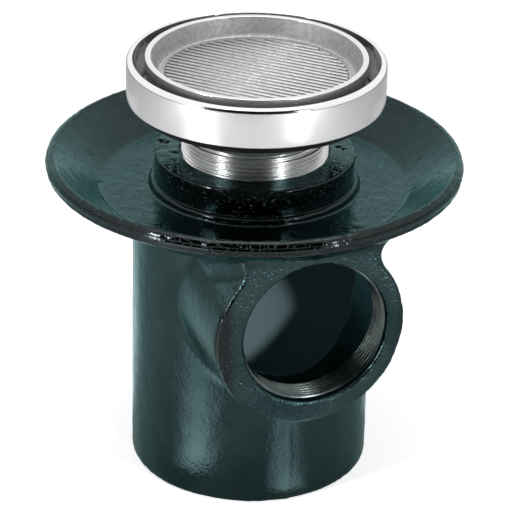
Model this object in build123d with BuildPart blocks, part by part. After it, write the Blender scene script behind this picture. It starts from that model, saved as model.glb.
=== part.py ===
from build123d import *
import os

# Floor drain in millimetres. Z is the drain axis, the rim of the open spigot stands on
# Z = 0 and the side port looks along -Y.

# Pipe thread shared by the throat and the side port, 2 1/2 inch parallel pipe thread
thread_diameter = 75.184
thread_minor_diameter = 72.226
thread_clearance = 0.05

# Barrel and spigot
barrel_diameter = 124.0
barrel_wall = 6.0
spigot_edge_radius = 2.0
cavity_corner_radius = 8.0

# Dished membrane flange and its thickened rim
flange_thickness = 6.0
flange_wall_inset = 27.5
flange_diameter = 213.0
flange_rise = 16.5
rim_width = 4.2
rim_depth = 7.5
rim_top_radius = 1.8
dish_corner_radius = 4.0

# Tapped collar in the middle of the flange
collar_diameter = 102.2
collar_height = 18.0
collar_edge_radius = 1.2
collar_foot_diameter = 107.0
collar_foot_height = 3.8
collar_foot_edge_radius = 1.2
collar_bore_chamfer = 1.0

# Side port
port_height = 112.8
port_setback = 14.5
port_boss_diameter = 98.6
port_boss_sink = 7.6
port_core_shift = 2.6
port_edge_radius = 1.0
port_blend_radius = 9.0
port_thread_length = 19.0
port_passage_diameter = 82.0
port_mouth_clearance = 0.3
port_mouth_depth = 3.0

# Strainer head
head_gap = 25.0
ring_diameter = 131.0
ring_wall = 3.15
ring_height = 20.1
ring_top_radius = 2.4
ring_lip_radius = 0.4
channel_depth = 21.4
channel_corner_radius = 3.0
dish_thickness = 3.5
dish_edge_inset = 5.0
throat_bore_diameter = 63.0
throat_lip_radius = 2.0
neck_diameter = 73.0
neck_length = 6.0
neck_flare_radius = 7.0
thread_length = 34.5
thread_end_chamfer = 1.4

# Tile tray
tray_diameter = 112.3
tray_rim_width = 2.95
tray_rim_radius = 0.4
tray_proud = 1.3
tray_depth = 9.6
tray_floor_thickness = 3.0
tray_outer_draft = 1.1
tray_inner_draft = 2.6
tray_outer_corner_radius = 3.0
tray_inner_corner_radius = 3.0
reed_circle_diameter = 93.0
reed_pitch = 3.72
reed_width = 2.3
reed_height = 1.15
reed_top_radius = 0.55
reed_angle = -45.0
tray_foot_count = 4
tray_foot_circle_diameter = 84.0
tray_foot_diameter = 10.0
tray_foot_draft = 4.0

# Body radii and heights that follow from the sizes above
barrel_radius = barrel_diameter / 2
cavity_radius = barrel_radius - barrel_wall
flange_radius = flange_diameter / 2
floor_radius = flange_radius - flange_wall_inset
port_boss_radius = port_boss_diameter / 2
floor_height = port_height + port_boss_radius - port_boss_sink
rim_inner_radius = flange_radius - rim_width
rim_top = floor_height + flange_rise
under_floor = floor_height - flange_thickness
under_corner_radius = floor_radius + flange_thickness / 2
collar_top = floor_height + collar_height
collar_radius = collar_diameter / 2
collar_foot_radius = collar_foot_diameter / 2
collar_shoulder = floor_height + collar_foot_height
thread_radius = thread_diameter / 2
collar_bore_radius = thread_radius + thread_clearance
port_reach = flange_radius - port_setback
port_thread_end = port_reach - port_thread_length

# Head radii and heights that follow
dish_under = collar_top + head_gap
channel_floor = dish_under + dish_thickness
lip_top = channel_floor + channel_depth
ring_bottom = lip_top - ring_height
ring_radius = ring_diameter / 2
ring_inner_radius = ring_radius - ring_wall
dish_radius = ring_radius - dish_edge_inset
throat_bore_radius = throat_bore_diameter / 2
neck_radius = neck_diameter / 2
neck_top = dish_under - neck_flare_radius
thread_top = neck_top - neck_length
thread_bottom = thread_top - thread_length

# Tray radii and heights that follow
tray_radius = tray_diameter / 2
tray_top = lip_top + tray_proud
tray_floor = tray_top - tray_depth
tray_under = tray_floor - tray_floor_thickness
tray_mouth_radius = tray_radius - tray_rim_width
reed_circle_radius = reed_circle_diameter / 2
reed_count = int((reed_circle_diameter - reed_width) / reed_pitch)
tray_foot_height = tray_under - channel_floor


# Drain body, one casting: turned outline, port boss, dish, collar, then the cored spaces
with BuildPart() as drain_body:
    with BuildSketch(Plane.XZ):
        with BuildLine():
            Polyline(
                (0, 0),
                (barrel_radius, 0),
                (barrel_radius, under_floor),
                (under_corner_radius, under_floor),
                (flange_radius, rim_top - rim_depth),
                (flange_radius, rim_top),
                (0, rim_top),
                close=True,
            )
        make_face()
    revolve(axis=Axis.Z)

    # The boss stands beside the bore by the core shift of the casting
    with BuildSketch(Plane.XZ.offset(port_reach)):
        with Locations((-port_core_shift, port_height)):
            Circle(port_boss_radius)
    extrude(amount=-port_reach)

    # It blends into the barrel and into the underside of the flange
    joins = edges().filter_by(GeomType.BSPLINE)
    joins += edges().filter_by(Axis.Y).filter_by(lambda e: abs(e.center().Z - under_floor) < 0.001)
    under_ring = edges().filter_by(GeomType.CIRCLE).filter_by(
        lambda e: abs(e.radius - barrel_radius) < 0.001 and e.center().Z > port_height
    )
    fillet(joins + under_ring, port_blend_radius)
    face_edges = faces().filter_by(Axis.Y).sort_by(Axis.Y)[0].edges()
    fillet(face_edges.filter_by(GeomType.HYPERBOLA, reverse=True), port_edge_radius)

    # Dish above the flange
    with BuildSketch(Plane.XZ):
        with BuildLine():
            Polyline(
                (0, floor_height),
                (floor_radius, floor_height),
                (rim_inner_radius, rim_top),
                (0, rim_top),
                close=True,
            )
        make_face()
        fillet(vertices().group_by(Axis.Y)[0].sort_by(Axis.X)[-1], dish_corner_radius)
    revolve(axis=Axis.Z, mode=Mode.SUBTRACT)

    # Rounded rim and spigot edges
    rim_edges = edges().filter_by(GeomType.CIRCLE).filter_by(lambda e: e.radius > rim_inner_radius - 0.001)
    fillet(rim_edges.filter_by(lambda e: abs(e.center().Z - rim_top) < 0.001), rim_top_radius)
    fillet(edges().group_by(Axis.Z)[0], spigot_edge_radius)

    # Collar on its low foot ring
    with BuildSketch(Plane.XZ):
        with BuildLine():
            Polyline(
                (0, under_floor),
                (collar_foot_radius, under_floor),
                (collar_foot_radius, collar_shoulder),
                (collar_radius, collar_shoulder),
                (collar_radius, collar_top),
                (0, collar_top),
                close=True,
            )
        make_face()
        fillet(vertices().group_by(Axis.Y)[-1].sort_by(Axis.X)[-1], collar_edge_radius)
        fillet(vertices().group_by(Axis.Y)[1].sort_by(Axis.X)[-1], collar_foot_edge_radius)
    revolve(axis=Axis.Z)

    # Cored barrel, open at the spigot
    with BuildSketch(Plane.XZ):
        Rectangle(cavity_radius, under_floor, align=(Align.MIN, Align.MIN))
        fillet(vertices().group_by(Axis.Y)[-1].sort_by(Axis.X)[-1], cavity_corner_radius)
    revolve(axis=Axis.Z, mode=Mode.SUBTRACT)

    # Cored passage behind the port thread, flat under the flange floor
    with BuildSketch(Plane.XZ.offset(port_thread_end)):
        with Locations((0, port_height)):
            Circle(port_passage_diameter / 2)
        with Locations((0, under_floor)):
            Rectangle(
                port_passage_diameter,
                port_passage_diameter,
                align=(Align.CENTER, Align.MIN),
                mode=Mode.SUBTRACT,
            )
    extrude(amount=-port_thread_end, mode=Mode.SUBTRACT)

    # Tapped bores: the thread itself is finer than this model
    with Locations(Plane.XZ.offset(port_reach) * Location((0, port_height, 0))):
        CounterBoreHole(
            thread_minor_diameter / 2,
            thread_radius + port_mouth_clearance,
            port_mouth_depth,
            depth=port_thread_length,
        )
    with Locations((0, 0, collar_top)):
        Hole(collar_bore_radius, depth=collar_height + flange_thickness)
    collar_bore_edges = edges().filter_by(GeomType.CIRCLE).filter_by(
        lambda e: abs(e.radius - collar_bore_radius) < 0.001
    )
    chamfer(collar_bore_edges.sort_by(Axis.Z)[-1], collar_bore_chamfer)
drain_body.part.label = "drain_body"


# Strainer head: frame ring, dish, neck and threaded throat turned in one piece
with BuildPart() as strainer_head:
    with BuildSketch(Plane.XZ):
        with BuildLine():
            Polyline(
                (neck_radius, neck_top),
                (neck_radius, thread_top + thread_radius - neck_radius),
                (thread_radius, thread_top),
                (thread_radius, thread_bottom + thread_end_chamfer),
                (thread_radius - thread_end_chamfer, thread_bottom),
                (throat_bore_radius, thread_bottom),
                (throat_bore_radius, channel_floor),
                (ring_inner_radius, channel_floor),
                (ring_inner_radius, lip_top),
                (ring_radius, lip_top),
                (ring_radius, ring_bottom),
                (dish_radius, dish_under),
                (neck_radius + neck_flare_radius, dish_under),
            )
            RadiusArc(
                (neck_radius + neck_flare_radius, dish_under),
                (neck_radius, neck_top),
                -neck_flare_radius,
            )
        make_face()
        top_corners = vertices().group_by(Axis.Y)[-1].sort_by(Axis.X)
        fillet(top_corners[-1], ring_top_radius)
        fillet(vertices().group_by(Axis.Y)[-1].sort_by(Axis.X)[0], ring_lip_radius)
        floor_corners = vertices().filter_by(lambda v: abs(v.Y - channel_floor) < 0.001).sort_by(Axis.X)
        fillet(floor_corners[0], throat_lip_radius)
        floor_corners = vertices().filter_by(lambda v: abs(v.Y - channel_floor) < 0.001).sort_by(Axis.X)
        fillet(floor_corners[-1], channel_corner_radius)
    revolve(axis=Axis.Z)
strainer_head.part.label = "strainer_head"


# Reeds of the tile bed, trimmed to a round field
with BuildPart() as reeds:
    with BuildSketch(Plane.YZ.offset(-reed_circle_radius)):
        with Locations((0, tray_floor)):
            with GridLocations(reed_pitch, 1, reed_count, 1):
                Rectangle(reed_width, reed_height, align=(Align.CENTER, Align.MIN))
        fillet(vertices().group_by(Axis.Y)[-1], reed_top_radius)
    extrude(amount=reed_circle_diameter)
    with BuildSketch(Plane.XY.offset(tray_floor)):
        Circle(reed_circle_radius)
    extrude(amount=reed_height, mode=Mode.INTERSECT)

# Tile tray: cast cup with reeded floor and four feet
with BuildPart() as tile_tray:
    with BuildSketch(Plane.XZ):
        with BuildLine():
            Polyline(
                (0, tray_under),
                (tray_radius - tray_outer_draft, tray_under),
                (tray_radius, tray_top),
                (tray_mouth_radius, tray_top),
                (tray_mouth_radius - tray_inner_draft, tray_floor),
                (0, tray_floor),
                close=True,
            )
        make_face()
        fillet(vertices().group_by(Axis.Y)[0].sort_by(Axis.X)[-1], tray_outer_corner_radius)
        wall_foot = vertices().filter_by(lambda v: abs(v.Y - tray_floor) < 0.001 and v.X > reed_circle_radius)
        fillet(wall_foot, tray_inner_corner_radius)
        fillet(vertices().group_by(Axis.Y)[-1], tray_rim_radius)
    revolve(axis=Axis.Z)
    add(reeds.part.rotate(Axis.Z, reed_angle))
    with BuildSketch(Plane.XY.offset(tray_under)):
        with PolarLocations(tray_foot_circle_diameter / 2, tray_foot_count, start_angle=45):
            Circle(tray_foot_diameter / 2)
    extrude(amount=-tray_foot_height, taper=tray_foot_draft)
tile_tray.part.label = "tile_tray"


os.makedirs("parts", exist_ok=True)
export_step(drain_body.part, "parts/drain_body.step")
export_step(strainer_head.part, "parts/strainer_head.step")
export_step(tile_tray.part, "parts/tile_tray.step")
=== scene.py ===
"""Floor drain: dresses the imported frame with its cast, turned and polished pieces.

Sizes are millimetres and become metres when a mesh is finished. Z is the drain axis, the
rim of the spigot stands on Z = 0 and the side port looks along -Y. Azimuths are degrees,
counted from -Y towards +X.
"""

from __future__ import annotations

import logging
import math

from dataclasses import dataclass
from enum import Enum

import bmesh
import bpy
import numpy as np
from mathutils import Matrix, Vector, noise


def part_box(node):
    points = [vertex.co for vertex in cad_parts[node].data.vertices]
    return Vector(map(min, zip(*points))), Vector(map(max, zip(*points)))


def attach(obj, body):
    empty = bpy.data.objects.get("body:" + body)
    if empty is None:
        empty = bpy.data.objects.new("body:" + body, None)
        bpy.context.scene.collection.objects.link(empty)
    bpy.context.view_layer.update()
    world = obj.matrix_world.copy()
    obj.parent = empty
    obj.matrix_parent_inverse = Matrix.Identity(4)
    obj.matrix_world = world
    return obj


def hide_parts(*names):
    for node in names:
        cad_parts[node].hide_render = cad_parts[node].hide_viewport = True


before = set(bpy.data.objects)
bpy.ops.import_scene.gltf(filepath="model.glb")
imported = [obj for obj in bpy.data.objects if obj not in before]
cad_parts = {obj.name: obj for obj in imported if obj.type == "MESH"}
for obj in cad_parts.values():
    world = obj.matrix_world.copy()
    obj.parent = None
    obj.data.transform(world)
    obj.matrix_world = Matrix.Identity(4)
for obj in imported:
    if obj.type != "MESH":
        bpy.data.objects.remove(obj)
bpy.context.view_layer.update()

LOG = logging.getLogger("floor_drain")
MM = 0.001
FULL_TURN = 2 * math.pi
ORIGIN = (0.0, 0.0, 0.0)
UP = (0.0, 0.0, 1.0)
WHITE = (1.0, 1.0, 1.0, 1.0)

Point = tuple[float, float, float]
Colour = tuple[float, float, float]
Range = tuple[float, float]


class Body(Enum):
    """The rigid bodies that pieces ride on."""

    BASE = "base"
    HEAD = "head"


class Slot(Enum):
    """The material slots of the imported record."""

    PAINT = "body_paint"
    CHROME = "head_chrome"
    CASTING = "tray_casting"


class Skin(Enum):
    """The mesh attributes that tell the paint how the skin of the casting is."""

    GRAIN = "grain"
    WET = "wet"
    BARE = "bare"


def smoothstep(low: float, high: float, value: np.ndarray) -> np.ndarray:
    """Rises smoothly from 0 at low to 1 at high."""
    share = np.clip((value - low) / (high - low), 0.0, 1.0)
    return share * share * (3.0 - 2.0 * share)


def fade(edge: float, around: Range, value: np.ndarray) -> np.ndarray:
    """Rises smoothly from 0 to 1 between two distances from an edge."""
    return smoothstep(edge + around[0], edge + around[1], value)


def positions(mesh: bpy.types.Mesh) -> np.ndarray:
    """The mesh's vertex positions as an array of rows."""
    flat = np.zeros(len(mesh.vertices) * 3)
    mesh.vertices.foreach_get("co", flat)
    return flat.reshape(-1, 3)


def set_positions(mesh: bpy.types.Mesh, points: np.ndarray) -> None:
    """Moves the mesh's vertices."""
    mesh.vertices.foreach_set("co", points.ravel())
    mesh.update()


def vertex_normals(mesh: bpy.types.Mesh) -> np.ndarray:
    """The mesh's vertex normals as an array of rows."""
    flat = np.zeros(len(mesh.vertices) * 3, np.float32)
    mesh.vertex_normals.foreach_get("vector", flat)
    return flat.reshape(-1, 3).astype(float)


def linked(name: str, data: bpy.types.ID) -> bpy.types.Object:
    """Makes an object from its data and links it to the scene."""
    made = bpy.data.objects.new(name, data)
    bpy.context.scene.collection.objects.link(made)
    return made


def aimed(place: Point, target: Point) -> Matrix:
    """The pose of a lamp or camera that stands at one point and looks at another."""
    here = Vector(place) * MM
    aim = Vector(target) * MM - here
    return Matrix.Translation(here) @ aim.to_track_quat("-Z", "Y").to_matrix().to_4x4()


def in_metres(name: str, bm: bmesh.types.BMesh) -> bpy.types.Object:
    """Makes an object at the origin from a bmesh in metres, which is freed."""
    mesh = bpy.data.meshes.new(name)
    bm.to_mesh(mesh)
    bm.free()
    return linked(name, mesh)


def finished(name: str, bm: bmesh.types.BMesh, finishes: list[bpy.types.Material]) -> bpy.types.Object:
    """Makes a smooth-shaded object in metres from a bmesh in millimetres.

    Args:
        name: Name of the piece.
        bm: The shape, which is freed.
        finishes: Materials, in the order of the faces' material indices.

    Returns:
        The new object, at the origin.
    """
    bmesh.ops.scale(bm, vec=(MM, MM, MM), verts=bm.verts[:])
    for face in bm.faces:
        face.smooth = True
    piece = in_metres(name, bm)
    for finish in finishes:
        piece.data.materials.append(finish)
    return piece


def mount(piece: bpy.types.Object, body: Body) -> None:
    """Lets a piece ride on its body and reports it."""
    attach(piece, body.value)
    LOG.info("%s: %d faces on %s", piece.name, len(piece.data.polygons), body.value)


def applied(piece: bpy.types.Object) -> bpy.types.Mesh:
    """The piece's mesh with its modifiers applied, as a new mesh."""
    graph = bpy.context.evaluated_depsgraph_get()
    return bpy.data.meshes.new_from_object(piece.evaluated_get(graph))


def smoothed(mesh: bpy.types.Mesh, rounds: int) -> bpy.types.Mesh:
    """The mesh after a few rounds of smoothing."""
    helper = linked("smoothing", mesh)
    smooth = helper.modifiers.new("smooth", "SMOOTH")
    smooth.factor = 0.5
    smooth.iterations = rounds
    result = applied(helper)
    bpy.data.objects.remove(helper)
    return result


def join(bm: bmesh.types.BMesh, part: bmesh.types.BMesh) -> None:
    """Adds one bmesh to another, and frees the one that was added."""
    mesh = bpy.data.meshes.new("part")
    part.to_mesh(mesh)
    part.free()
    bm.from_mesh(mesh)
    bpy.data.meshes.remove(mesh)


@dataclass(frozen=True)
class Corner:
    """One corner of a turned outline, with the radius that rounds it."""

    radius: float
    height: float
    rounding: float = 0.0
    segments: int = 6


@dataclass(frozen=True)
class Outline:
    """A turned outline: corners in the XZ plane, closed on itself or open at the axis."""

    corners: tuple[Corner, ...]
    closed: bool = True
    spacing: float = 0.0
    merge_distance: float = 1e-4

    def turned(self, steps: int) -> bmesh.types.BMesh:
        """Spins the outline round the Z axis.

        Args:
            steps: Number of faces round a full turn.

        Returns:
            A new bmesh with outward faces.
        """
        bm = bmesh.new()
        verts = [bm.verts.new((c.radius, 0.0, c.height)) for c in self.corners]
        pairs = list(zip(verts, verts[1:]))
        if self.closed:
            pairs.append((verts[-1], verts[0]))
        for start, end in pairs:
            bm.edges.new((start, end))
        for vert, corner in zip(verts, self.corners):
            if corner.rounding > 0:
                self._round(bm, vert, corner)
        if self.spacing > 0:
            self._divide(bm)
        bmesh.ops.spin(
            bm,
            geom=bm.verts[:] + bm.edges[:],
            cent=ORIGIN,
            axis=UP,
            angle=FULL_TURN,
            steps=steps,
            use_merge=True,
        )
        bmesh.ops.remove_doubles(bm, verts=bm.verts[:], dist=self.merge_distance)
        bmesh.ops.recalc_face_normals(bm, faces=bm.faces[:])
        return bm

    def _divide(self, bm: bmesh.types.BMesh) -> None:
        """Divides the long sides of the wire to the outline's spacing."""
        for edge in bm.edges[:]:
            cuts = int(edge.calc_length() / self.spacing)
            if cuts > 0:
                bmesh.ops.subdivide_edges(bm, edges=[edge], cuts=cuts)

    @staticmethod
    def _round(bm: bmesh.types.BMesh, vert: bmesh.types.BMVert, corner: Corner) -> None:
        """Rounds one corner of the wire with an arc that is tangent to both sides."""
        sides = [(edge.other_vert(vert).co - vert.co).normalized() for edge in vert.link_edges]
        turn = math.pi - sides[0].angle(sides[1])
        bmesh.ops.bevel(
            bm,
            geom=[vert],
            offset=corner.rounding * math.tan(turn / 2),
            offset_type="OFFSET",
            affect="VERTICES",
            segments=corner.segments,
            profile=0.5,
            material=-1,
        )


@dataclass(frozen=True)
class HelicalThread:
    """A thread ridge wound on a cylinder, standing outwards or, in a nut, inwards.

    The ridge's foot and shoulder are shares of its depth, and how far they reach to either
    side of the crest are shares of the pitch.
    """

    root_radius: float
    crest_radius: float
    pitch: float
    start: float
    length: float
    steps: int = 96
    sink: float = 0.15
    foot: float = 0.12
    foot_reach: float = 0.40
    shoulder: float = 0.88
    shoulder_reach: float = 0.12
    run_out: float = 0.5

    def wound(self) -> bmesh.types.BMesh:
        """Winds the ridge round the Z axis from its start height.

        Returns:
            A closed bmesh whose ends run out into the root.
        """
        bm = bmesh.new()
        depth = self.crest_radius - self.root_radius
        root = self.root_radius - math.copysign(self.sink, depth)
        foot = self.root_radius + self.foot * depth
        shoulder = self.root_radius + self.shoulder * depth
        section = (
            (root, -0.5),
            (foot, -self.foot_reach),
            (shoulder, -self.shoulder_reach),
            (self.crest_radius, 0.0),
            (shoulder, self.shoulder_reach),
            (foot, self.foot_reach),
            (root, 0.5),
        )
        verts = [bm.verts.new((r, 0.0, self.start + z * self.pitch)) for r, z in section]
        bm.faces.new(verts)
        turns = self.length / self.pitch
        count = round(turns * self.steps)
        bmesh.ops.spin(
            bm,
            geom=bm.faces[:] + bm.edges[:] + bm.verts[:],
            cent=ORIGIN,
            axis=UP,
            dvec=(0.0, 0.0, self.pitch / self.steps),
            angle=FULL_TURN * count / self.steps,
            steps=count,
        )
        self._sink_ends(bm, root)
        bmesh.ops.recalc_face_normals(bm, faces=bm.faces[:])
        return bm

    def _sink_ends(self, bm: bmesh.types.BMesh, root: float) -> None:
        """Lets the ridge sink into the root over its run-out, in turns, at both ends."""
        for vert in bm.verts:
            angle = math.atan2(vert.co.y, vert.co.x) % FULL_TURN
            into = (vert.co.z - self.start) / self.pitch
            turn = round(into - angle / FULL_TURN) + angle / FULL_TURN
            ends = min(turn, self.length / self.pitch - turn)
            keep = min(1.0, max(0.0, ends / self.run_out))
            radius = math.hypot(vert.co.x, vert.co.y)
            wanted = root + (radius - root) * keep
            vert.co.x *= wanted / radius
            vert.co.y *= wanted / radius


class Shader:
    """A node material under construction."""

    # The mix node's colour sockets go by number: its other kinds have the same names
    LOW_COLOUR = 6
    HIGH_COLOUR = 7
    MIXED_COLOUR = 2

    def __init__(self, name: str) -> None:
        """Starts a material with an empty tree and a principled surface."""
        self.material = bpy.data.materials.new(name)
        self.material.use_nodes = True
        tree = self.material.node_tree
        tree.nodes.clear()
        self.nodes = tree.nodes
        self.links = tree.links
        self.surface = self.node("ShaderNodeBsdfPrincipled")
        self.output = self.node("ShaderNodeOutputMaterial")
        self.links.new(self.surface.outputs["BSDF"], self.output.inputs["Surface"])
        self.place = self.node("ShaderNodeTexCoord").outputs["Object"]

    def node(self, kind: str, **settings: object) -> bpy.types.Node:
        """Adds a node with its settings."""
        made = self.nodes.new(kind)
        for key, value in settings.items():
            setattr(made, key, value)
        return made

    def set(self, **values: object) -> None:
        """Sets constants on the surface's own sockets, by name with spaces as underscores."""
        for key, value in values.items():
            self.surface.inputs[key.replace("_", " ")].default_value = value

    def link(self, source: bpy.types.NodeSocket, name: str) -> None:
        """Links a socket to one of the surface's inputs."""
        self.links.new(source, self.surface.inputs[name])

    def feed(self, slot: bpy.types.NodeSocket, value: bpy.types.NodeSocket | float | tuple) -> None:
        """Links a socket to an input, or sets the input to a constant."""
        if isinstance(value, bpy.types.NodeSocket):
            self.links.new(value, slot)
        else:
            slot.default_value = value

    def attribute(self, name: str) -> bpy.types.NodeSocket:
        """Reads a float attribute of the mesh."""
        return self.node("ShaderNodeAttribute", attribute_name=name).outputs["Fac"]

    def stretched(self, scale: Point) -> bpy.types.NodeSocket:
        """Object coordinates, scaled along each axis."""
        mapping = self.node("ShaderNodeMapping")
        mapping.inputs["Scale"].default_value = scale
        self.links.new(self.place, mapping.inputs["Vector"])
        return mapping.outputs["Vector"]

    def noise(
        self,
        scale: float,
        detail: float = 2.0,
        roughness: float = 0.5,
        distortion: float = 0.0,
        place: bpy.types.NodeSocket | None = None,
    ) -> bpy.types.NodeSocket:
        """Adds a noise texture.

        Args:
            scale: Cycles a metre.
            detail: Octaves.
            roughness: How strong the finer octaves are.
            distortion: How far the pattern is swirled.
            place: Coordinates, or nothing for the object's own.

        Returns:
            The noise's value.
        """
        texture = self.node("ShaderNodeTexNoise")
        texture.inputs["Scale"].default_value = scale
        texture.inputs["Detail"].default_value = detail
        texture.inputs["Roughness"].default_value = roughness
        texture.inputs["Distortion"].default_value = distortion
        self.links.new(place or self.place, texture.inputs["Vector"])
        return texture.outputs["Fac"]

    def ramp(
        self, source: bpy.types.NodeSocket, low: float, high: float, start: float = 0.0, end: float = 1.0
    ) -> bpy.types.NodeSocket:
        """Maps a value from low..high to start..end, clamped."""
        spread = self.node("ShaderNodeMapRange")
        spread.inputs["From Min"].default_value = low
        spread.inputs["From Max"].default_value = high
        spread.inputs["To Min"].default_value = start
        spread.inputs["To Max"].default_value = end
        self.links.new(source, spread.inputs["Value"])
        return spread.outputs["Result"]

    def math(
        self, operation: str, first: bpy.types.NodeSocket | float, second: bpy.types.NodeSocket | float
    ) -> bpy.types.NodeSocket:
        """Adds a math node on two sockets or numbers."""
        made = self.node("ShaderNodeMath", operation=operation)
        for slot, value in zip(made.inputs, (first, second)):
            self.feed(slot, value)
        return made.outputs["Value"]

    def line(
        self, source: bpy.types.NodeSocket, slope: float, offset: bpy.types.NodeSocket | float
    ) -> bpy.types.NodeSocket:
        """A socket times a slope, plus an offset."""
        return self.math("ADD", self.math("MULTIPLY", source, slope), offset)

    def mix(
        self, share: bpy.types.NodeSocket, low: bpy.types.NodeSocket | Colour, high: Colour
    ) -> bpy.types.NodeSocket:
        """Mixes two colours by a share."""
        made = self.node("ShaderNodeMix", data_type="RGBA")
        self.feed(made.inputs["Factor"], share)
        self.feed(made.inputs[self.LOW_COLOUR], (*low, 1.0) if isinstance(low, tuple) else low)
        self.feed(made.inputs[self.HIGH_COLOUR], (*high, 1.0))
        return made.outputs[self.MIXED_COLOUR]

    def bump(self, *layers: tuple[bpy.types.NodeSocket, bpy.types.NodeSocket | float, float]) -> None:
        """Stacks bump layers on the surface.

        Args:
            *layers: Height socket, strength and height in metres of each layer.
        """
        normal = None
        for height, strength, distance in layers:
            made = self.node("ShaderNodeBump")
            self.feed(made.inputs["Height"], height)
            self.feed(made.inputs["Strength"], strength)
            self.feed(made.inputs["Distance"], distance)
            if normal is not None:
                self.links.new(normal, made.inputs["Normal"])
            normal = made.outputs["Normal"]
        self.link(normal, "Normal")


@dataclass(frozen=True)
class GlossPaint:
    """Green-black gloss paint over sand-cast iron.

    It is grainy on the face of the boss, neutral and glossier where it ran together on the
    collar and the rim, and missing inside the barrel, where grey scale shows. The metallic
    share keeps it nearly black face on and gives its grazing sheen a tint. Scales are cycles
    a metre and bump heights are metres.
    """

    deep: Colour = (0.022, 0.043, 0.047)
    thin: Colour = (0.040, 0.068, 0.071)
    pooled: Colour = (0.030, 0.035, 0.036)
    scale: Colour = (0.17, 0.25, 0.27)
    cloud_scale: float = 28.0
    cloud_range: Range = (0.35, 0.7)
    sheen_tint: Colour = (0.74, 1.0, 1.0)
    sheen_ior: float = 1.5
    dark_share: float = 0.94
    wet_dark_share: float = 0.06
    smear_scale: float = 55.0
    smear_range: Range = (0.3, 0.75)
    smear_roughness: Range = (0.13, 0.21)
    wet_polish: float = -0.10
    bare_dulling: float = 0.6
    peel_scale: float = 500.0
    peel_strength: float = 0.45
    peel_lost_in_wet: float = -0.33
    peel_height: float = 0.0005
    sand_scale: float = 800.0
    sand_strength: float = 0.10
    sand_on_face: float = 0.55
    sand_height: float = 0.0007
    grit_scale: float = 700.0
    grit_range: Range = (0.60, 0.70)
    grit_strength: float = 0.60
    grit_height: float = 0.0006

    def material(self, name: str) -> bpy.types.Material:
        """Builds the material.

        Args:
            name: Name of the material.

        Returns:
            The finished material.
        """
        shader = Shader(name)
        grain, wet, bare = (shader.attribute(skin.value) for skin in Skin)
        self._colour(shader, wet, bare)
        self._gloss(shader, wet, bare)
        self._roughen(shader, grain, wet)
        return shader.material

    def _colour(self, shader: Shader, wet: bpy.types.NodeSocket, bare: bpy.types.NodeSocket) -> None:
        """Clouds the paint between deep and thin, and shows the pooled and the bare skin."""
        cloud = shader.noise(self.cloud_scale, detail=3.0)
        paint = shader.mix(shader.ramp(cloud, *self.cloud_range), self.deep, self.thin)
        paint = shader.mix(wet, paint, self.pooled)
        shader.link(shader.mix(bare, paint, self.scale), "Base Color")

    def _gloss(self, shader: Shader, wet: bpy.types.NodeSocket, bare: bpy.types.NodeSocket) -> None:
        """Makes the paint shine, more where it is wet, and leaves the bare skin dull."""
        dark = shader.line(wet, self.wet_dark_share, self.dark_share)
        shader.link(shader.math("SUBTRACT", dark, bare), "Metallic")
        smear = shader.noise(self.smear_scale, detail=3.0)
        smear = shader.ramp(smear, *self.smear_range, *self.smear_roughness)
        smear = shader.line(wet, self.wet_polish, smear)
        shader.link(shader.line(bare, self.bare_dulling, smear), "Roughness")
        shader.set(IOR=self.sheen_ior, Specular_Tint=(*self.sheen_tint, 1.0))

    def _roughen(self, shader: Shader, grain: bpy.types.NodeSocket, wet: bpy.types.NodeSocket) -> None:
        """Stacks the paint's peel, the sand under it and the grit that sticks in the wet."""
        peel = shader.noise(self.peel_scale)
        peel_strength = shader.line(wet, self.peel_lost_in_wet, self.peel_strength)
        sand = shader.noise(self.sand_scale, roughness=0.6)
        sand_strength = shader.line(grain, self.sand_on_face, self.sand_strength)
        grit = shader.ramp(shader.noise(self.grit_scale), *self.grit_range)
        grit_strength = shader.math("MULTIPLY", wet, self.grit_strength)
        shader.bump(
            (peel, peel_strength, self.peel_height),
            (sand, sand_strength, self.sand_height),
            (grit, grit_strength, self.grit_height),
        )


@dataclass(frozen=True)
class MirrorChrome:
    """Mirror-polished metal with the faintest lines of the buff."""

    colour: Colour = (0.90, 0.90, 0.92)
    roughness: float = 0.10
    haze: float = 0.05
    haze_scale: float = 90.0
    haze_range: Range = (0.3, 0.8)
    line_scale: Point = (30.0, 30.0, 2600.0)
    line_strength: float = 0.02
    line_height: float = 0.0001

    def material(self, name: str) -> bpy.types.Material:
        """Builds the material, with buffing lines that run round the ring."""
        shader = Shader(name)
        lines = shader.noise(1.0, place=shader.stretched(self.line_scale))
        haze = shader.noise(self.haze_scale, detail=3.0)
        dullest = self.roughness + self.haze
        shader.link(shader.ramp(haze, *self.haze_range, self.roughness, dullest), "Roughness")
        shader.bump((lines, self.line_strength, self.line_height))
        shader.set(Metallic=1.0, Base_Color=(*self.colour, 1.0))
        return shader.material


@dataclass(frozen=True)
class TurnedMetal:
    """Metal as it left the lathe: fine rings that shine unevenly and a few dull patches."""

    bright: Colour = (0.76, 0.77, 0.77)
    stained: Colour = (0.62, 0.62, 0.61)
    patch_scale: float = 70.0
    patch_range: Range = (0.35, 0.7)
    ring_scale: Point = (6.0, 6.0, 2600.0)
    ring_range: Range = (0.3, 0.7)
    ring_roughness: Range = (0.22, 0.28)

    def material(self, name: str) -> bpy.types.Material:
        """Builds the material."""
        shader = Shader(name)
        rings = shader.noise(1.0, detail=3.0, place=shader.stretched(self.ring_scale))
        patches = shader.noise(self.patch_scale, detail=4.0, distortion=0.6)
        patches = shader.ramp(patches, *self.patch_range)
        shader.link(shader.mix(patches, self.bright, self.stained), "Base Color")
        shader.link(shader.ramp(rings, *self.ring_range, *self.ring_roughness), "Roughness")
        shader.set(Metallic=1.0)
        return shader.material


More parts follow.
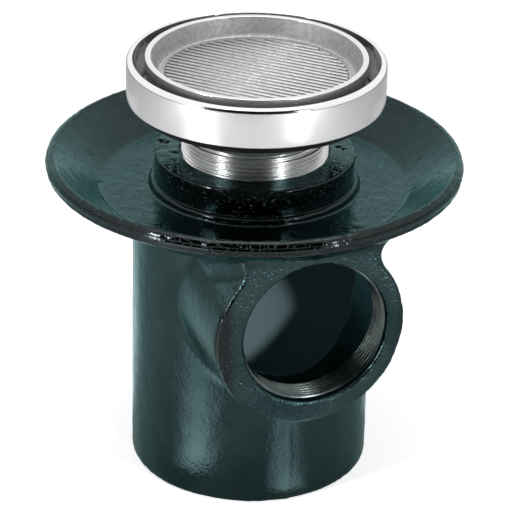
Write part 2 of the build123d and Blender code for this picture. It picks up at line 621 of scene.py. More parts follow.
@dataclass(frozen=True)
class SatinCasting:
    """Cleaned casting: light grey metal with a fine mottled skin."""

    light: Colour = (0.66, 0.66, 0.66)
    dark: Colour = (0.46, 0.46, 0.46)
    roughness: float = 0.34
    dark_dulling: float = 0.14
    metallic: float = 1.0
    mottle_scale: float = 420.0
    mottle_range: Range = (0.32, 0.68)
    mottle_strength: float = 0.25
    mottle_height: float = 0.0003
    skin_scale: float = 1500.0
    skin_strength: float = 0.3
    skin_height: float = 0.0002

    def material(self, name: str) -> bpy.types.Material:
        """Builds the material."""
        shader = Shader(name)
        mottle = shader.noise(self.mottle_scale, detail=5.0, roughness=0.65)
        mottle = shader.ramp(mottle, *self.mottle_range)
        shader.link(shader.mix(mottle, self.dark, self.light), "Base Color")
        dullest = self.roughness + self.dark_dulling
        shader.link(shader.ramp(mottle, 0.0, 1.0, dullest, self.roughness), "Roughness")
        skin = shader.noise(self.skin_scale, detail=3.0)
        shader.bump(
            (mottle, self.mottle_strength, self.mottle_height),
            (skin, self.skin_strength, self.skin_height),
        )
        shader.set(Metallic=self.metallic)
        return shader.material


@dataclass(frozen=True)
class Blemish:
    """A chip, a tick of flash or, with a negative height, a pit in the skin of the casting."""

    place: Point
    height: float
    spread: float

    def over(self, points: np.ndarray) -> np.ndarray:
        """Its height at each of the points."""
        away = np.linalg.norm(points - np.array(self.place), axis=1)
        return self.height * np.exp(-((away / self.spread) ** 2))


@dataclass(frozen=True)
class SandWave:
    """Waves that the sand of the mould left, with what the rim and the collar add to them."""

    length: float
    height: float
    more_on_rim: float = 0.0
    more_on_collar: float = 0.0
    above_floor_only: bool = False


@dataclass(frozen=True)
class Regions:
    """Each vertex's radius, and how far it is on the collar or rim and above the floor."""

    radius: np.ndarray
    collar: np.ndarray
    rim: np.ndarray
    above_floor: np.ndarray


@dataclass(frozen=True)
class DrainBody:
    """The painted iron casting.

    The flange and its collar are turned, with crisp edges. The barrel and the port boss are an
    even mesh over their solid. The two shells meet inside the plate of the flange and share
    one relief of the sand.
    """

    voxel: float = 1.7
    smoothing_rounds: int = 2
    flange_steps: int = 384
    flange_spacing: float = 1.25
    tool_steps: int = 180
    drill_steps: int = 192
    tool_margin: float = 5.0
    tool_overhang: float = 2.0
    drill_overhang: float = 1.0
    weld_distance: float = 0.001
    barrel_radius: float = 62.0
    barrel_wall: float = 6.0
    flange_radius: float = 106.5
    rim_inner_radius: float = 102.3
    rim_top: float = 171.0
    rim_bottom: float = 163.5
    rim_inner_rounding: float = 1.0
    rim_top_rounding: float = 3.0
    rim_bottom_rounding: float = 1.2
    flash: float = 0.7
    flash_height: float = 167.0
    flash_width: float = 0.8
    crisp_rounding: float = 0.3
    floor_radius: float = 79.0
    floor_height: float = 154.5
    floor_rounding: float = 4.0
    flange_thickness: float = 6.0
    under_corner_radius: float = 82.0
    under_rounding: float = 3.0
    join_rise: float = 1.0
    join_width: float = 3.0
    collar_radius: float = 51.1
    collar_top: float = 172.5
    collar_rounding: float = 1.2
    collar_bore_radius: float = 37.64
    collar_bore_chamfer: float = 1.0
    foot_radius: float = 53.5
    foot_top: float = 158.3
    foot_neck_rounding: float = 0.4
    foot_top_rounding: float = 1.9
    foot_floor_rounding: float = 1.4
    boss_radius: float = 49.3
    boss_shift: float = -2.6
    boss_start: float = 40.0
    blend_radius: float = 9.0
    port_height: float = 112.8
    port_reach: float = 92.0
    thread_major_radius: float = 37.6
    thread_minor_radius: float = 36.1
    thread_pitch: float = 2.309
    thread_end: float = 73.0
    mouth_depth: float = 3.0
    mouth_edge: float = 0.7
    mouth_tolerance: float = 1.0
    mouth_relief: float = 0.2
    true_tolerance: float = 0.13
    true_top: float = 140.0
    sink: float = 0.6
    join_fade: Range = (0.5, 4.0)
    boss_fade: Range = (0.0, 4.0)
    waves: tuple[SandWave, ...] = (
        SandWave(26.0, 0.22),
        SandWave(6.0, 0.10),
        SandWave(4.2, 0.09, more_on_rim=0.06, more_on_collar=0.06),
        SandWave(2.0, 0.0, more_on_rim=0.16, more_on_collar=0.08, above_floor_only=True),
    )
    wave_seed: Point = (11.3, 4.7, 29.1)
    ripple: Blemish = Blemish((-46.0, 12.0, 172.5), 0.5, 15.0)
    ripple_scale: tuple[float, float] = (0.55, 0.10)
    ripple_seed: float = 3.0
    parting_azimuth: float = -1.3
    parting_height: float = 0.45
    parting_width: float = 1.1
    parting_wander: float = 0.25
    parting_wave: float = 9.0
    parting_back_share: float = 0.6
    parting_fade: Range = (-3.0, -1.0)
    collar_side_fade: Range = (2.0, 0.0)
    collar_foot_fade: Range = (0.2, 1.5)
    rim_fade: Range = (-1.5, 0.8)
    floor_fade: Range = (-1.0, 0.2)
    face_fade: Range = (1.2, 0.3)
    bare_fade: Range = (4.0, 2.0)
    bare_top: float = 3.0
    bore_margin: float = 0.2
    mouth_margin: float = 1.2
    grain_on_face: float = 0.9
    grain_lost_above_floor: float = 0.15
    wet_above_floor: float = 0.55
    blemishes: tuple[Blemish, ...] = (
        Blemish((-44.2, 25.8, 172.5), -1.8, 1.5),
        Blemish((-42.2, 23.6, 172.5), -1.8, 1.3),
        Blemish((-40.2, 21.4, 172.5), -1.5, 1.2),
        Blemish((-46.2, 22.6, 172.5), 1.0, 1.5),
        Blemish((-42.6, 27.8, 172.5), 0.9, 1.4),
        Blemish((-48.5, 14.0, 172.0), -0.9, 1.4),
        Blemish((39.5, -4.5, 172.5), 1.3, 1.7),
        Blemish((41.5, -10.5, 172.5), -1.5, 0.9),
        Blemish((43.0, -13.5, 172.5), -1.3, 0.8),
        Blemish((45.5, -22.0, 172.0), 1.2, 1.4),
        Blemish((-57.0, -89.9, 168.5), 1.6, 1.5),
        Blemish((-2.4, -106.5, 168.5), 1.5, 1.5),
        Blemish((-73.9, 44.8, 159.8), -0.8, 1.0),
        Blemish((-75.3, 22.6, 154.7), -0.7, 0.9),
        Blemish((-72.5, 5.5, 154.6), -0.6, 0.9),
        Blemish((86.2, -13.0, 159.6), -0.7, 1.0),
        Blemish((-62.7, 72.4, 166.4), -0.6, 1.1),
    )

    @property
    def under_floor(self) -> float:
        """Height of the underside of the flange."""
        return self.floor_height - self.flange_thickness

    @property
    def join_radius(self) -> float:
        """Radius at which the blend of the barrel meets the flange."""
        return self.barrel_radius + self.blend_radius

    def build(self) -> list[bpy.types.Object]:
        """Makes both shells of the casting and puts them in place of the plain solid.

        Returns:
            The two pieces.
        """
        paint = GlossPaint().material("gloss_paint")
        shells = {"flange_casting": self._flange(), "barrel_casting": self._barrel_and_boss()}
        pieces = []
        for name, bm in shells.items():
            piece = finished(name, bm, [paint])
            self._relieve(piece.data)
            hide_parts("drain_body")
            mount(piece, Body.BASE)
            pieces.append(piece)
        return pieces

    def _flange(self) -> bmesh.types.BMesh:
        """Turns the flange, its rim and the collar as one closed ring."""
        seat = self.under_floor + self.join_rise
        rim_radius = self.flange_radius - self.flash
        chamfer_start = self.collar_top - self.collar_bore_chamfer
        chamfer_radius = self.collar_bore_radius + self.collar_bore_chamfer
        outline = Outline(
            (
                Corner(self.collar_bore_radius, seat),
                Corner(self.collar_bore_radius, chamfer_start, self.crisp_rounding, 2),
                Corner(chamfer_radius, self.collar_top, self.crisp_rounding, 2),
                Corner(self.collar_radius, self.collar_top, self.collar_rounding, 5),
                Corner(self.collar_radius, self.foot_top, self.foot_neck_rounding, 2),
                Corner(self.foot_radius, self.foot_top, self.foot_top_rounding, 6),
                Corner(self.foot_radius, self.floor_height, self.foot_floor_rounding, 4),
                Corner(self.floor_radius, self.floor_height, self.floor_rounding, 5),
                Corner(self.rim_inner_radius, self.rim_top, self.rim_inner_rounding, 4),
                Corner(rim_radius, self.rim_top, self.rim_top_rounding, 8),
                Corner(rim_radius, self.flash_height + self.flash_width),
                Corner(self.flange_radius, self.flash_height, self.crisp_rounding, 2),
                Corner(rim_radius, self.flash_height - self.flash_width),
                Corner(rim_radius, self.rim_bottom, self.rim_bottom_rounding, 4),
                Corner(self.under_corner_radius, self.under_floor, self.under_rounding, 4),
                Corner(self.join_radius + self.join_width, self.under_floor),
                Corner(self.join_radius, seat),
            ),
            spacing=self.flange_spacing,
        )
        return outline.turned(self.flange_steps)

    def _barrel_and_boss(self) -> bmesh.types.BMesh:
        """Lays an even mesh over all that lies under the middle of the flange's plate."""
        mesh = self._even_mesh()
        points = positions(mesh) / MM
        self._true_up(points)
        set_positions(mesh, points * MM)
        mesh = smoothed(mesh, self.smoothing_rounds)
        points = positions(mesh) / MM
        self._sink_plate(points)
        set_positions(mesh, points)
        bm = bmesh.new()
        bm.from_mesh(mesh)
        bpy.data.meshes.remove(mesh)
        return bm

    def _even_mesh(self) -> bpy.types.Mesh:
        """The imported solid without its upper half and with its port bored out, evenly meshed."""
        bm = bmesh.new()
        bm.from_mesh(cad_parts["drain_body"].data)
        bmesh.ops.remove_doubles(bm, verts=bm.verts[:], dist=self.weld_distance * MM)
        solid = in_metres("body_solid", bm)
        tools = {"INTERSECT": self._lower_half(), "DIFFERENCE": self._port_drill()}
        for operation, tool in tools.items():
            cut = solid.modifiers.new(tool.name, "BOOLEAN")
            cut.operation = operation
            cut.solver = "EXACT"
            cut.object = tool
        remesh = solid.modifiers.new("even", "REMESH")
        remesh.mode = "VOXEL"
        remesh.voxel_size = self.voxel * MM
        mesh = applied(solid)
        for scrap in (solid, *tools.values()):
            bpy.data.objects.remove(scrap)
        return mesh

    def _lower_half(self) -> bpy.types.Object:
        """The space under the middle of the flange's plate, as a closed tool."""
        middle = self.floor_height - self.flange_thickness / 2
        outside = self.rim_inner_radius + self.tool_overhang
        outline = Outline(
            (
                Corner(0.0, -self.tool_margin),
                Corner(outside, -self.tool_margin),
                Corner(outside, (self.rim_top + self.rim_bottom) / 2),
                Corner((self.floor_radius + self.under_corner_radius) / 2, middle),
                Corner(0.0, middle),
            ),
            closed=False,
        )
        bm = outline.turned(self.tool_steps)
        bmesh.ops.scale(bm, vec=(MM, MM, MM), verts=bm.verts[:])
        return in_metres("lower_half", bm)

    def _port_drill(self) -> bpy.types.Object:
        """The tool that bores the port out to the root of its thread."""
        bm = bmesh.new()
        length = self.port_reach + self.drill_overhang - self.thread_end
        middle = (0.0, -(self.thread_end + length / 2) * MM, self.port_height * MM)
        bmesh.ops.create_cone(
            bm,
            cap_ends=True,
            segments=self.drill_steps,
            radius1=self.thread_major_radius * MM,
            radius2=self.thread_major_radius * MM,
            depth=length * MM,
            matrix=Matrix.Translation(middle) @ Matrix.Rotation(math.pi / 2, 4, "X"),
        )
        return in_metres("port_drill", bm)

    def _true_up(self, points: np.ndarray) -> None:
        """Moves points near the barrel, boss and mouth onto their exact cylinders, in place."""
        radius = np.hypot(points[:, 0], points[:, 1])
        on_barrel = np.abs(radius - self.barrel_radius) < self.true_tolerance
        on_barrel &= points[:, 2] < self.true_top
        points[on_barrel, :2] *= (self.barrel_radius / radius[on_barrel])[:, None]
        across = points[:, 0] - self.boss_shift
        rise = points[:, 2] - self.port_height
        reach = np.hypot(across, rise)
        on_boss = (np.abs(reach - self.boss_radius) < self.true_tolerance) & (points[:, 1] < -self.boss_start)
        scale = self.boss_radius / reach[on_boss]
        points[on_boss, 0] = self.boss_shift + across[on_boss] * scale
        points[on_boss, 2] = self.port_height + rise[on_boss] * scale
        mouth = np.hypot(points[:, 0], rise)
        in_mouth = np.abs(mouth - self.thread_major_radius) < self.mouth_tolerance
        in_mouth &= points[:, 1] > self.mouth_edge - self.port_reach
        in_mouth &= points[:, 1] < -self.thread_end - self.mouth_tolerance
        scale = self.thread_major_radius / mouth[in_mouth]
        points[in_mouth, 0] *= scale
        points[in_mouth, 2] = self.port_height + rise[in_mouth] * scale

    def _sink_plate(self, points: np.ndarray) -> None:
        """Lifts the plain plate of the lower shell into the turned flange, in place."""
        radius = np.hypot(points[:, 0], points[:, 1])
        reach = np.hypot(points[:, 0] - self.boss_shift, points[:, 2] - self.port_height)
        beside_boss = fade(self.boss_radius + self.blend_radius, self.boss_fade, reach)
        beside_boss[points[:, 1] > 0] = 1.0
        points[:, 2] += self.sink * fade(self.join_radius, self.join_fade, radius) * beside_boss

    def _relieve(self, mesh: bpy.types.Mesh) -> None:
        """Gives the casting its waves, seams and blemishes, and marks its skin."""
        points = positions(mesh) / MM
        regions = self._regions(points)
        relief = self._ripples(points) * regions.collar + self._parting(points, regions.radius)
        for wave in self.waves:
            more = wave.more_on_rim * regions.rim + wave.more_on_collar * regions.collar
            height = wave.height + more
            if wave.above_floor_only:
                height *= regions.above_floor
            relief += height * self._waves(points, wave.length)
        for blemish in self.blemishes:
            relief += blemish.over(points)
        in_bore = regions.radius < self.collar_bore_radius + self.bore_margin
        relief[in_bore & (points[:, 2] > self.under_floor)] = 0.0
        mouth = np.hypot(points[:, 0], points[:, 2] - self.port_height)
        in_mouth = mouth < self.thread_major_radius + self.mouth_margin
        relief[in_mouth & (points[:, 1] < -self.thread_end)] *= self.mouth_relief
        set_positions(mesh, (points + vertex_normals(mesh) * relief[:, None]) * MM)
        self._keep_in_box(mesh)
        self._mark_skin(mesh, points, regions)

    def _regions(self, points: np.ndarray) -> Regions:
        """Finds the regions that the vertices lie in."""
        radius = np.hypot(points[:, 0], points[:, 1])
        collar = fade(self.foot_radius, self.collar_side_fade, radius)
        collar *= fade(self.floor_height, self.collar_foot_fade, points[:, 2])
        rim = fade(self.rim_inner_radius, self.rim_fade, radius)
        return Regions(radius, collar, rim, fade(self.floor_height, self.floor_fade, points[:, 2]))

    def _mark_skin(self, mesh: bpy.types.Mesh, points: np.ndarray, regions: Regions) -> None:
        """Writes the mesh attributes that the paint reads.

        Args:
            mesh: Mesh of the shell.
            points: Its vertices before the relief, in millimetres.
            regions: The regions that they lie in.
        """
        face = fade(-self.port_reach, self.face_fade, points[:, 1]) * (1.0 - regions.rim)
        grain = self.grain_on_face * face - self.grain_lost_above_floor * regions.above_floor
        wet = self.wet_above_floor * regions.above_floor + regions.collar + regions.rim
        bare = fade(self.barrel_radius - self.barrel_wall, self.bare_fade, regions.radius)
        bare *= fade(self.under_floor, (0.0, -self.bare_top), points[:, 2])
        bare[points[:, 1] < -self.boss_start] = 0.0
        marks = {Skin.GRAIN: np.clip(grain, 0.0, 1.0), Skin.WET: np.clip(wet, 0.0, 1.0), Skin.BARE: bare}
        for skin, values in marks.items():
            attribute = mesh.attributes.new(skin.value, "FLOAT", "POINT")
            attribute.data.foreach_set("value", values.astype(np.float32))

    def _waves(self, points: np.ndarray, length: float) -> np.ndarray:
        """Smooth noise of a wavelength in millimetres, from about -1 to 1."""
        start = Vector(self.wave_seed) * length
        return np.array([noise.noise(start + Vector(point) / length) for point in points])

    def _ripples(self, points: np.ndarray) -> np.ndarray:
        """The long ripples that the mould left on the left of the collar's top."""
        narrow, long = self.ripple_scale
        ripples = [noise.noise(Vector((x * narrow, y * long, self.ripple_seed))) for x, y, _ in points]
        return np.array(ripples) * self.ripple.over(points)

    def _parting(self, points: np.ndarray, radius: np.ndarray) -> np.ndarray:
        """The ridge where the two halves of the mould met, in the plane of the port."""
        turn = math.radians(self.parting_azimuth)
        across = points[:, 0] * math.cos(turn) + points[:, 1] * math.sin(turn)
        wander = self.parting_wander * np.sin(points[:, 2] / self.parting_wave)
        ridge = np.exp(-(((across - wander) / self.parting_width) ** 2))
        ridge[points[:, 1] > 0.0] *= self.parting_back_share
        outside = fade(self.barrel_radius, self.parting_fade, radius)
        under = smoothstep(self.rim_top, self.rim_bottom, points[:, 2])
        return self.parting_height * ridge * outside * under

    def _keep_in_box(self, mesh: bpy.types.Mesh) -> None:
        """Pulls points that stand out of the solid's box back onto its sides."""
        low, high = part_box("drain_body")
        set_positions(mesh, np.clip(positions(mesh), np.array(low), np.array(high)))


@dataclass(frozen=True)
class PortThread:
    """The tapped thread of the side port."""

    body: DrainBody
    end_gap: float = 0.5
    sink: float = 0.5
    metal: TurnedMetal = TurnedMetal(bright=(0.13, 0.16, 0.155), stained=(0.04, 0.05, 0.05))

    def build(self) -> bpy.types.Object:
        """Winds the ridge in the port's bore."""
        body = self.body
        start = body.thread_end + self.end_gap
        thread = HelicalThread(
            root_radius=body.thread_major_radius,
            crest_radius=body.thread_minor_radius,
            pitch=body.thread_pitch,
            start=start,
            length=body.port_reach - body.mouth_depth - start,
            sink=self.sink,
        )
        bm = thread.wound()
        place = Matrix.Translation((0.0, 0.0, body.port_height)) @ Matrix.Rotation(math.pi / 2, 4, "X")
        bmesh.ops.transform(bm, matrix=place, verts=bm.verts[:])
        piece = finished("port_thread", bm, [self.metal.material("tapped_thread")])
        mount(piece, Body.BASE)
        return piece


class HeadFinish(Enum):
    """Material indices of the strainer head."""

    CHROME = 0
    CASTING = 1
    TURNED = 2


@dataclass(frozen=True)
class StrainerHead:
    """The frame ring, dish, neck and threaded throat, turned in one piece."""

    ring_radius: float = 65.5
    ring_inner_radius: float = 62.35
    lip_top: float = 222.4
    ring_bottom: float = 202.3
    ring_top_rounding: float = 2.4
    ring_bottom_rounding: float = 0.5
    lip_rounding: float = 0.4
    dish_radius: float = 60.5
    dish_under: float = 197.5
    dish_rounding: float = 0.6
    channel_floor: float = 201.0
    channel_rounding: float = 3.0
    throat_radius: float = 31.5
    throat_rounding: float = 2.0
    neck_radius: float = 36.5
    neck_edge: float = 0.4
    neck_edge_rounding: float = 0.3
    flare_rounding: float = 7.0
    thread_major_radius: float = 37.59
    thread_root_radius: float = 36.11
    thread_pitch: float = 2.309
    thread_top: float = 184.5
    thread_bottom: float = 150.0
    thread_gap: float = 0.6
    end_chamfer: float = 1.4
    ring_margin: float = 0.2
    dish_margin: float = 0.5
    steps: int = 288

    def build(self) -> bpy.types.Object:
        """Turns the head, winds its thread and puts it in place of the plain solid."""
        outline = Outline(
            (
                Corner(self.throat_radius, self.thread_bottom),
                Corner(self.thread_root_radius, self.thread_bottom),
                Corner(self.thread_root_radius, self.thread_top),
                Corner(self.neck_radius, self.thread_top + self.neck_edge, self.neck_edge_rounding, 2),
                Corner(self.neck_radius, self.dish_under, self.flare_rounding, 10),
                Corner(self.dish_radius, self.dish_under, self.dish_rounding, 3),
                Corner(self.ring_radius, self.ring_bottom, self.ring_bottom_rounding, 3),
                Corner(self.ring_radius, self.lip_top, self.ring_top_rounding, 10),
                Corner(self.ring_inner_radius, self.lip_top, self.lip_rounding, 4),
                Corner(self.ring_inner_radius, self.channel_floor, self.channel_rounding, 8),
                Corner(self.throat_radius, self.channel_floor, self.throat_rounding, 8),
            )
        )
        bm = outline.turned(self.steps)
        self._sort_finishes(bm)
        self._wind_thread(bm)
        finishes = [
            MirrorChrome().material("ring_chrome"),
            SatinCasting(dark=(0.10, 0.10, 0.10), light=(0.22, 0.22, 0.22)).material("dish_casting"),
            TurnedMetal().material("turned_throat"),
        ]
        piece = finished("strainer_head_turned", bm, finishes)
        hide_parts("strainer_head")
        mount(piece, Body.HEAD)
        return piece

    def _sort_finishes(self, bm: bmesh.types.BMesh) -> None:
        """Gives the ring, the dish and the throat their own finish."""
        for face in bm.faces:
            centre = face.calc_center_median()
            outside = math.hypot(centre.x, centre.y) > self.ring_inner_radius - self.ring_margin
            if outside and centre.z > self.ring_bottom - self.ring_margin:
                finish = HeadFinish.CHROME
            elif centre.z > self.dish_under - self.dish_margin:
                finish = HeadFinish.CASTING
            else:
                finish = HeadFinish.TURNED
            face.material_index = finish.value

    def _wind_thread(self, bm: bmesh.types.BMesh) -> None:
        """Adds the external thread to the throat."""
        start = self.thread_bottom + self.end_chamfer
        ridge = HelicalThread(
            root_radius=self.thread_root_radius,
            crest_radius=self.thread_major_radius,
            pitch=self.thread_pitch,
            start=start,
            length=self.thread_top - self.thread_gap - start,
        ).wound()
        for face in ridge.faces:
            face.material_index = HeadFinish.TURNED.value
        join(bm, ridge)


class TrayFinish(Enum):
    """Material indices of the tile tray."""

    CASTING = 0
    RIM = 1
    WALL = 2


@dataclass(frozen=True)
class TileTray:
    """The cast tray that takes a tile: cup, polished rim, reeded floor and four feet."""

    radius: float = 56.15
    rim_width: float = 2.95
    rim_depth: float = 0.7
    rim_rounding: float = 0.4
    top: float = 223.7
    floor: float = 214.1
    under: float = 211.1
    outer_draft: float = 1.1
    inner_draft: float = 2.6
    corner_rounding: float = 3.0
    reed_circle_radius: float = 46.5
    reed_pitch: float = 3.72
    reed_width: float = 2.3
    reed_height: float = 1.15
    reed_rounding: float = 0.55
    reed_sink: float = 0.3
    reed_turn: float = -45.0
    foot_circle_radius: float = 42.0
    foot_radius: float = 5.0
    foot_bottom: float = 201.0
    foot_draft: float = 4.0
    foot_steps: int = 32
    feet: int = 4
    mouth_margin: float = 0.1
    floor_margin: float = 0.2
    steps: int = 256

    @property
    def mouth_radius(self) -> float:
        """Inner radius of the rim."""
        return self.radius - self.rim_width

    def build(self) -> bpy.types.Object:
        """Makes the tray and puts it in place of the plain solid."""
        outline = Outline(
            (
                Corner(0.0, self.under),
                Corner(self.radius - self.outer_draft, self.under, self.corner_rounding, 6),
                Corner(self.radius, self.top, self.rim_rounding, 4),
                Corner(self.mouth_radius, self.top, self.rim_rounding, 4),
                Corner(self.mouth_radius - self.inner_draft, self.floor, self.corner_rounding, 6),
                Corner(0.0, self.floor),
            ),
            closed=False,
        )
        bm = outline.turned(self.steps)
        self._sort_finishes(bm)
        self._lay_reeds(bm)
        self._stand_feet(bm)
        wall = SatinCasting(
            light=(0.44, 0.43, 0.42), dark=(0.31, 0.30, 0.29), roughness=0.42, metallic=0.3
        )
        finishes = [
            SatinCasting().material("tray_casting"),
            MirrorChrome(colour=(0.82, 0.82, 0.83), roughness=0.16).material("tray_rim"),
            wall.material("tray_wall"),
        ]
        piece = finished("tile_tray_cast", bm, finishes)
        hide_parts("tile_tray")
        mount(piece, Body.HEAD)
        return piece

    def _sort_finishes(self, bm: bmesh.types.BMesh) -> None:
        """Gives the rim and the inner wall their own finish."""
        for face in bm.faces:
            centre = face.calc_center_median()
            inside = math.hypot(centre.x, centre.y) < self.mouth_radius + self.mouth_margin
            if centre.z > self.top - self.rim_depth:
                face.material_index = TrayFinish.RIM.value
            elif inside and centre.z > self.floor + self.floor_margin:
                face.material_index = TrayFinish.WALL.value

    def _lay_reeds(self, bm: bmesh.types.BMesh) -> None:
        """Lays the reeds along X, each cut to the round field, and turns the field."""
        reeds = bmesh.new()
        count = int((2 * self.reed_circle_radius - self.reed_width) / self.reed_pitch)
        for index in range(count):
            offset = (index - (count - 1) / 2) * self.reed_pitch
            edge = abs(offset) + self.reed_width / 2
            half = math.sqrt(max(self.reed_circle_radius**2 - edge**2, 1.0))
            centre = (0.0, offset, self.floor + (self.reed_height - self.reed_sink) / 2)
            size = (2 * half, self.reed_width, self.reed_height + self.reed_sink)
            made = bmesh.ops.create_cube(
                reeds, size=1.0, matrix=Matrix.Translation(centre) @ Matrix.Diagonal((*size, 1.0))
            )
            top = [v for v in made["verts"] if v.co.z > self.floor]
            edges = {e for v in top for e in v.link_edges if all(o in top for o in e.verts)}
            bmesh.ops.bevel(
                reeds,
                geom=list(edges),
                offset=self.reed_rounding,
                affect="EDGES",
                segments=3,
                profile=0.5,
                material=-1,
            )
        turn = Matrix.Rotation(math.radians(self.reed_turn), 4, "Z")
        bmesh.ops.transform(reeds, matrix=turn, verts=reeds.verts[:])
        join(bm, reeds)

    def _stand_feet(self, bm: bmesh.types.BMesh) -> None:
        """Stands the tray on short feet, a quarter turn apart."""
        feet = bmesh.new()
        height = self.under - self.foot_bottom
        for index in range(self.feet):
            angle = (index + 0.5) * FULL_TURN / self.feet
            x = self.foot_circle_radius * math.cos(angle)
            y = self.foot_circle_radius * math.sin(angle)
            bmesh.ops.create_cone(
                feet,
                cap_ends=True,
                segments=self.foot_steps,
                radius1=self.foot_radius - height * math.tan(math.radians(self.foot_draft)),
                radius2=self.foot_radius,
                depth=height,
                matrix=Matrix.Translation((x, y, self.foot_bottom + height / 2)),
            )
        join(bm, feet)


@dataclass(frozen=True)
class SoftBox:
    """A rectangular lamp that looks at the middle of the drain, with its power in watts."""

    name: str
    place: Point
    size: tuple[float, float]
    power: float
    aim: Point = (0.0, 0.0, 110.0)

    def hang(self) -> None:
        """Adds the lamp to the scene."""
        lamp = bpy.data.lights.new(self.name, "AREA")
        lamp.shape = "RECTANGLE"
        lamp.size = self.size[0] * MM
        lamp.size_y = self.size[1] * MM
        lamp.energy = self.power
        linked(self.name, lamp).matrix_world = aimed(self.place, self.aim)


@dataclass(frozen=True)
class StripLight:
    """A tall soft box at an azimuth, low enough to light the neck under the ring."""

    name: str
    azimuth: float
    power: float
    distance: float = 900.0
    height: float = 330.0
    size: tuple[float, float] = (60.0, 460.0)

    def hang(self) -> None:
        """Adds the strip to the scene."""
        turn = math.radians(self.azimuth)
        place = (self.distance * math.sin(turn), -self.distance * math.cos(turn), self.height)
        SoftBox(self.name, place, self.size, self.power).hang()


@dataclass(frozen=True)
class SheenCard:
    """A bright card on the floor that only reflections see, soft at its sides.

    It lies along a line that starts at a point and runs away at an azimuth, and its width and
    level change from the near end to the far end.
    """

    name: str
    start: tuple[float, float]
    azimuth: float
    length: float
    near_width: float
    far_width: float
    near_level: float
    far_level: float
    lift: float = 0.5
    columns: int = 12
    rows: int = 24
    glow_attribute: str = "glow"

    def lay(self) -> None:
        """Lays the card beside the drain."""
        card = finished(self.name, self._fan(), [self._light()])
        seen_in_gloss_alone(card)

    def _fan(self) -> bmesh.types.BMesh:
        """The card's shape, with a glow that fades to its long sides and its far end."""
        bm = bmesh.new()
        bmesh.ops.create_grid(bm, x_segments=self.columns, y_segments=self.rows, size=1.0)
        glow = bm.verts.layers.float.new(self.glow_attribute)
        turn = math.radians(self.azimuth)
        along = Vector((math.sin(turn), -math.cos(turn), 0.0))
        across = Vector((math.cos(turn), math.sin(turn), 0.0))
        begin = Vector((*self.start, self.lift))
        for vert in bm.verts:
            side, share = vert.co.x, (vert.co.y + 1.0) / 2
            width = self.near_width + (self.far_width - self.near_width) * share
            level = self.near_level * (self.far_level / self.near_level) ** share
            vert[glow] = level * math.cos(side * math.pi / 2) ** 2
            vert.co = begin + along * self.length * share + across * width * side / 2
        return bm

    def _light(self) -> bpy.types.Material:
        """A clear film that gives off the card's glow."""
        shader = Shader(self.name)
        shader.nodes.remove(shader.surface)
        light = shader.node("ShaderNodeEmission")
        shader.links.new(shader.attribute(self.glow_attribute), light.inputs["Strength"])
        clear = shader.node("ShaderNodeBsdfTransparent")
        both = shader.node("ShaderNodeAddShader")
        shader.links.new(light.outputs["Emission"], both.inputs[0])
        shader.links.new(clear.outputs["BSDF"], both.inputs[1])
        shader.links.new(both.outputs["Shader"], shader.output.inputs["Surface"])
        return shader.material


def seen_in_gloss_alone(card: bpy.types.Object) -> None:
    """Hides a studio card from everything but reflections."""
    for ray in ("camera", "diffuse", "transmission", "volume_scatter", "shadow"):
        setattr(card, f"visible_{ray}", False)


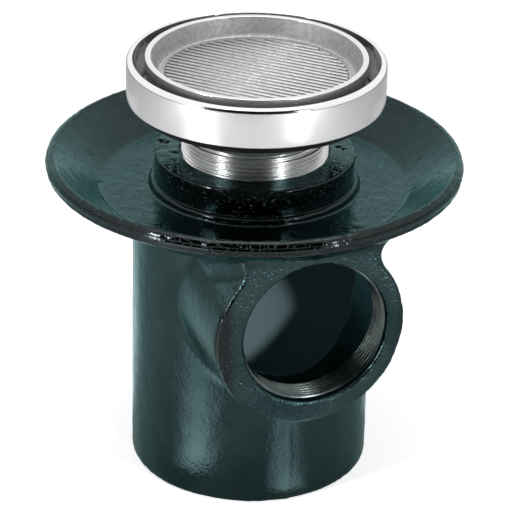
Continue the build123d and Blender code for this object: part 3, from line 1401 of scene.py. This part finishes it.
@dataclass(frozen=True)
class Studio:
    """Pale floor, soft lights and the photograph's camera."""

    floor_size: float = 6000.0
    floor_colour: Colour = (0.80, 0.80, 0.80)
    white_share: float = 0.66
    fill: float = 0.26
    cloth_colour: Colour = (0.01, 0.012, 0.014)
    cloth_azimuth: float = -20.6
    cloth_distance: float = 1800.0
    cloth_height: float = 1650.0
    cloth_size: tuple[float, float] = (4200.0, 3100.0)
    spot_place: Point = (10.0, -900.0, 505.0)
    spot_aim: Point = (0.0, -92.0, 112.8)
    spot_power: float = 24.0
    spot_cone: float = 7.5
    spot_blend: float = 0.4
    spot_radius: float = 35.0
    strips: tuple[StripLight, ...] = (
        StripLight("strip_left", -70.6, 3.9),
        StripLight("strip_right", 19.4, 3.6),
    )
    soft_top: SoftBox = SoftBox("soft_top", (0.0, 100.0, 1500.0), (1200.0, 900.0), 6.5)
    cards: tuple[SheenCard, ...] = (
        SheenCard("card_left", (-70.0, -51.0), -69.0, 560.0, 58.0, 560.0, 2.8, 0.18),
        SheenCard("card_right_near", (1.0, -72.0), 15.0, 95.0, 36.0, 90.0, 2.4, 1.0),
        SheenCard("card_back_left", (-25.0, 66.0), -158.0, 420.0, 90.0, 420.0, 0.85, 0.16),
        SheenCard("card_back_right", (64.0, 30.0), 115.0, 420.0, 90.0, 420.0, 0.70, 0.10),
        SheenCard("card_right_far", (105.0, -385.0), 16.0, 220.0, 290.0, 380.0, 0.50, 0.45),
    )
    focal_length: float = 193.1
    sensor_width: float = 36.0
    clip_range: Range = (50.0, 30000.0)
    camera_place: Point = (-446.0, -1191.8, 748.1)
    camera_target: Point = (1.72, -0.65, 111.8)
    camera_roll: float = 1.35

    def build(self) -> None:
        """Sets up everything round the object."""
        self._camera()
        self._floor()
        for card in self.cards:
            card.lay()
        self._port_spot()
        self._cloth()
        self._world()
        for lamp in (*self.strips, self.soft_top):
            lamp.hang()
        bpy.context.scene.view_settings.view_transform = "Standard"

    def _camera(self) -> None:
        """Places the camera where the photograph was taken."""
        data = bpy.data.cameras.new("camera")
        data.lens = self.focal_length
        data.sensor_width = self.sensor_width
        data.clip_start = self.clip_range[0] * MM
        data.clip_end = self.clip_range[1] * MM
        camera = linked("camera", data)
        roll = Matrix.Rotation(math.radians(self.camera_roll), 4, "Z")
        camera.matrix_world = aimed(self.camera_place, self.camera_target) @ roll
        bpy.context.scene.camera = camera

    def _floor(self) -> None:
        """Lays the pale floor under the spigot."""
        bm = bmesh.new()
        bmesh.ops.create_grid(bm, x_segments=1, y_segments=1, size=self.floor_size)
        shader = Shader("pale_floor")
        shader.set(Base_Color=(*self.floor_colour, 1.0), Roughness=0.9, Specular_IOR_Level=0.0)
        path = shader.node("ShaderNodeLightPath")
        seen = shader.math("MULTIPLY", path.outputs["Is Camera Ray"], self.white_share)
        shader.link(seen, "Emission Strength")
        shader.set(Emission_Color=WHITE)
        finished("studio_floor", bm, [shader.material])

    def _port_spot(self) -> None:
        """Shines a narrow spot through the side port onto the inner wall."""
        lamp = bpy.data.lights.new("port_spot", "SPOT")
        lamp.energy = self.spot_power
        lamp.spot_size = math.radians(self.spot_cone)
        lamp.spot_blend = self.spot_blend
        lamp.shadow_soft_size = self.spot_radius * MM
        spot = linked("port_spot", lamp)
        spot.matrix_world = aimed(self.spot_place, self.spot_aim)
        spot.visible_glossy = False

    def _cloth(self) -> None:
        """Hangs the dark cloth behind the camera that gives the metal its dark edges."""
        bm = bmesh.new()
        bmesh.ops.create_grid(bm, x_segments=1, y_segments=1, size=0.5)
        bmesh.ops.scale(bm, vec=(*self.cloth_size, 1.0), verts=bm.verts[:])
        azimuth = math.radians(self.cloth_azimuth)
        back = Vector((math.sin(azimuth), -math.cos(azimuth), 0.0))
        place = back * self.cloth_distance + Vector((0.0, 0.0, self.cloth_height))
        turn = back.to_track_quat("-Z", "Y").to_matrix().to_4x4()
        bmesh.ops.transform(bm, matrix=Matrix.Translation(place) @ turn, verts=bm.verts[:])
        shader = Shader("dark_cloth")
        shader.set(Base_Color=(*self.cloth_colour, 1.0), Roughness=1.0, Specular_IOR_Level=0.0)
        cloth = finished("dark_cloth", bm, [shader.material])
        seen_in_gloss_alone(cloth)

    def _world(self) -> None:
        """White behind the object and in its reflections, softer as light."""
        world = bpy.data.worlds.new("studio")
        world.use_nodes = True
        nodes, links = world.node_tree.nodes, world.node_tree.links
        nodes.clear()
        background = nodes.new("ShaderNodeBackground")
        output = nodes.new("ShaderNodeOutputWorld")
        path = nodes.new("ShaderNodeLightPath")
        either = nodes.new("ShaderNodeMath")
        either.operation = "MAXIMUM"
        links.new(path.outputs["Is Camera Ray"], either.inputs[0])
        links.new(path.outputs["Is Glossy Ray"], either.inputs[1])
        strength = nodes.new("ShaderNodeMapRange")
        strength.inputs["To Min"].default_value = self.fill
        strength.inputs["To Max"].default_value = 1.0
        links.new(either.outputs["Value"], strength.inputs["Value"])
        links.new(strength.outputs["Result"], background.inputs["Strength"])
        links.new(background.outputs["Background"], output.inputs["Surface"])
        background.inputs["Color"].default_value = WHITE
        bpy.context.scene.world = world


def main() -> None:
    """Builds every piece of the drain and the studio round it."""
    logging.basicConfig(level=logging.INFO, format="%(message)s")
    body = DrainBody()
    body.build()
    PortThread(body).build()
    StrainerHead().build()
    TileTray().build()
    Studio().build()


if __name__ == "__main__":
    main()
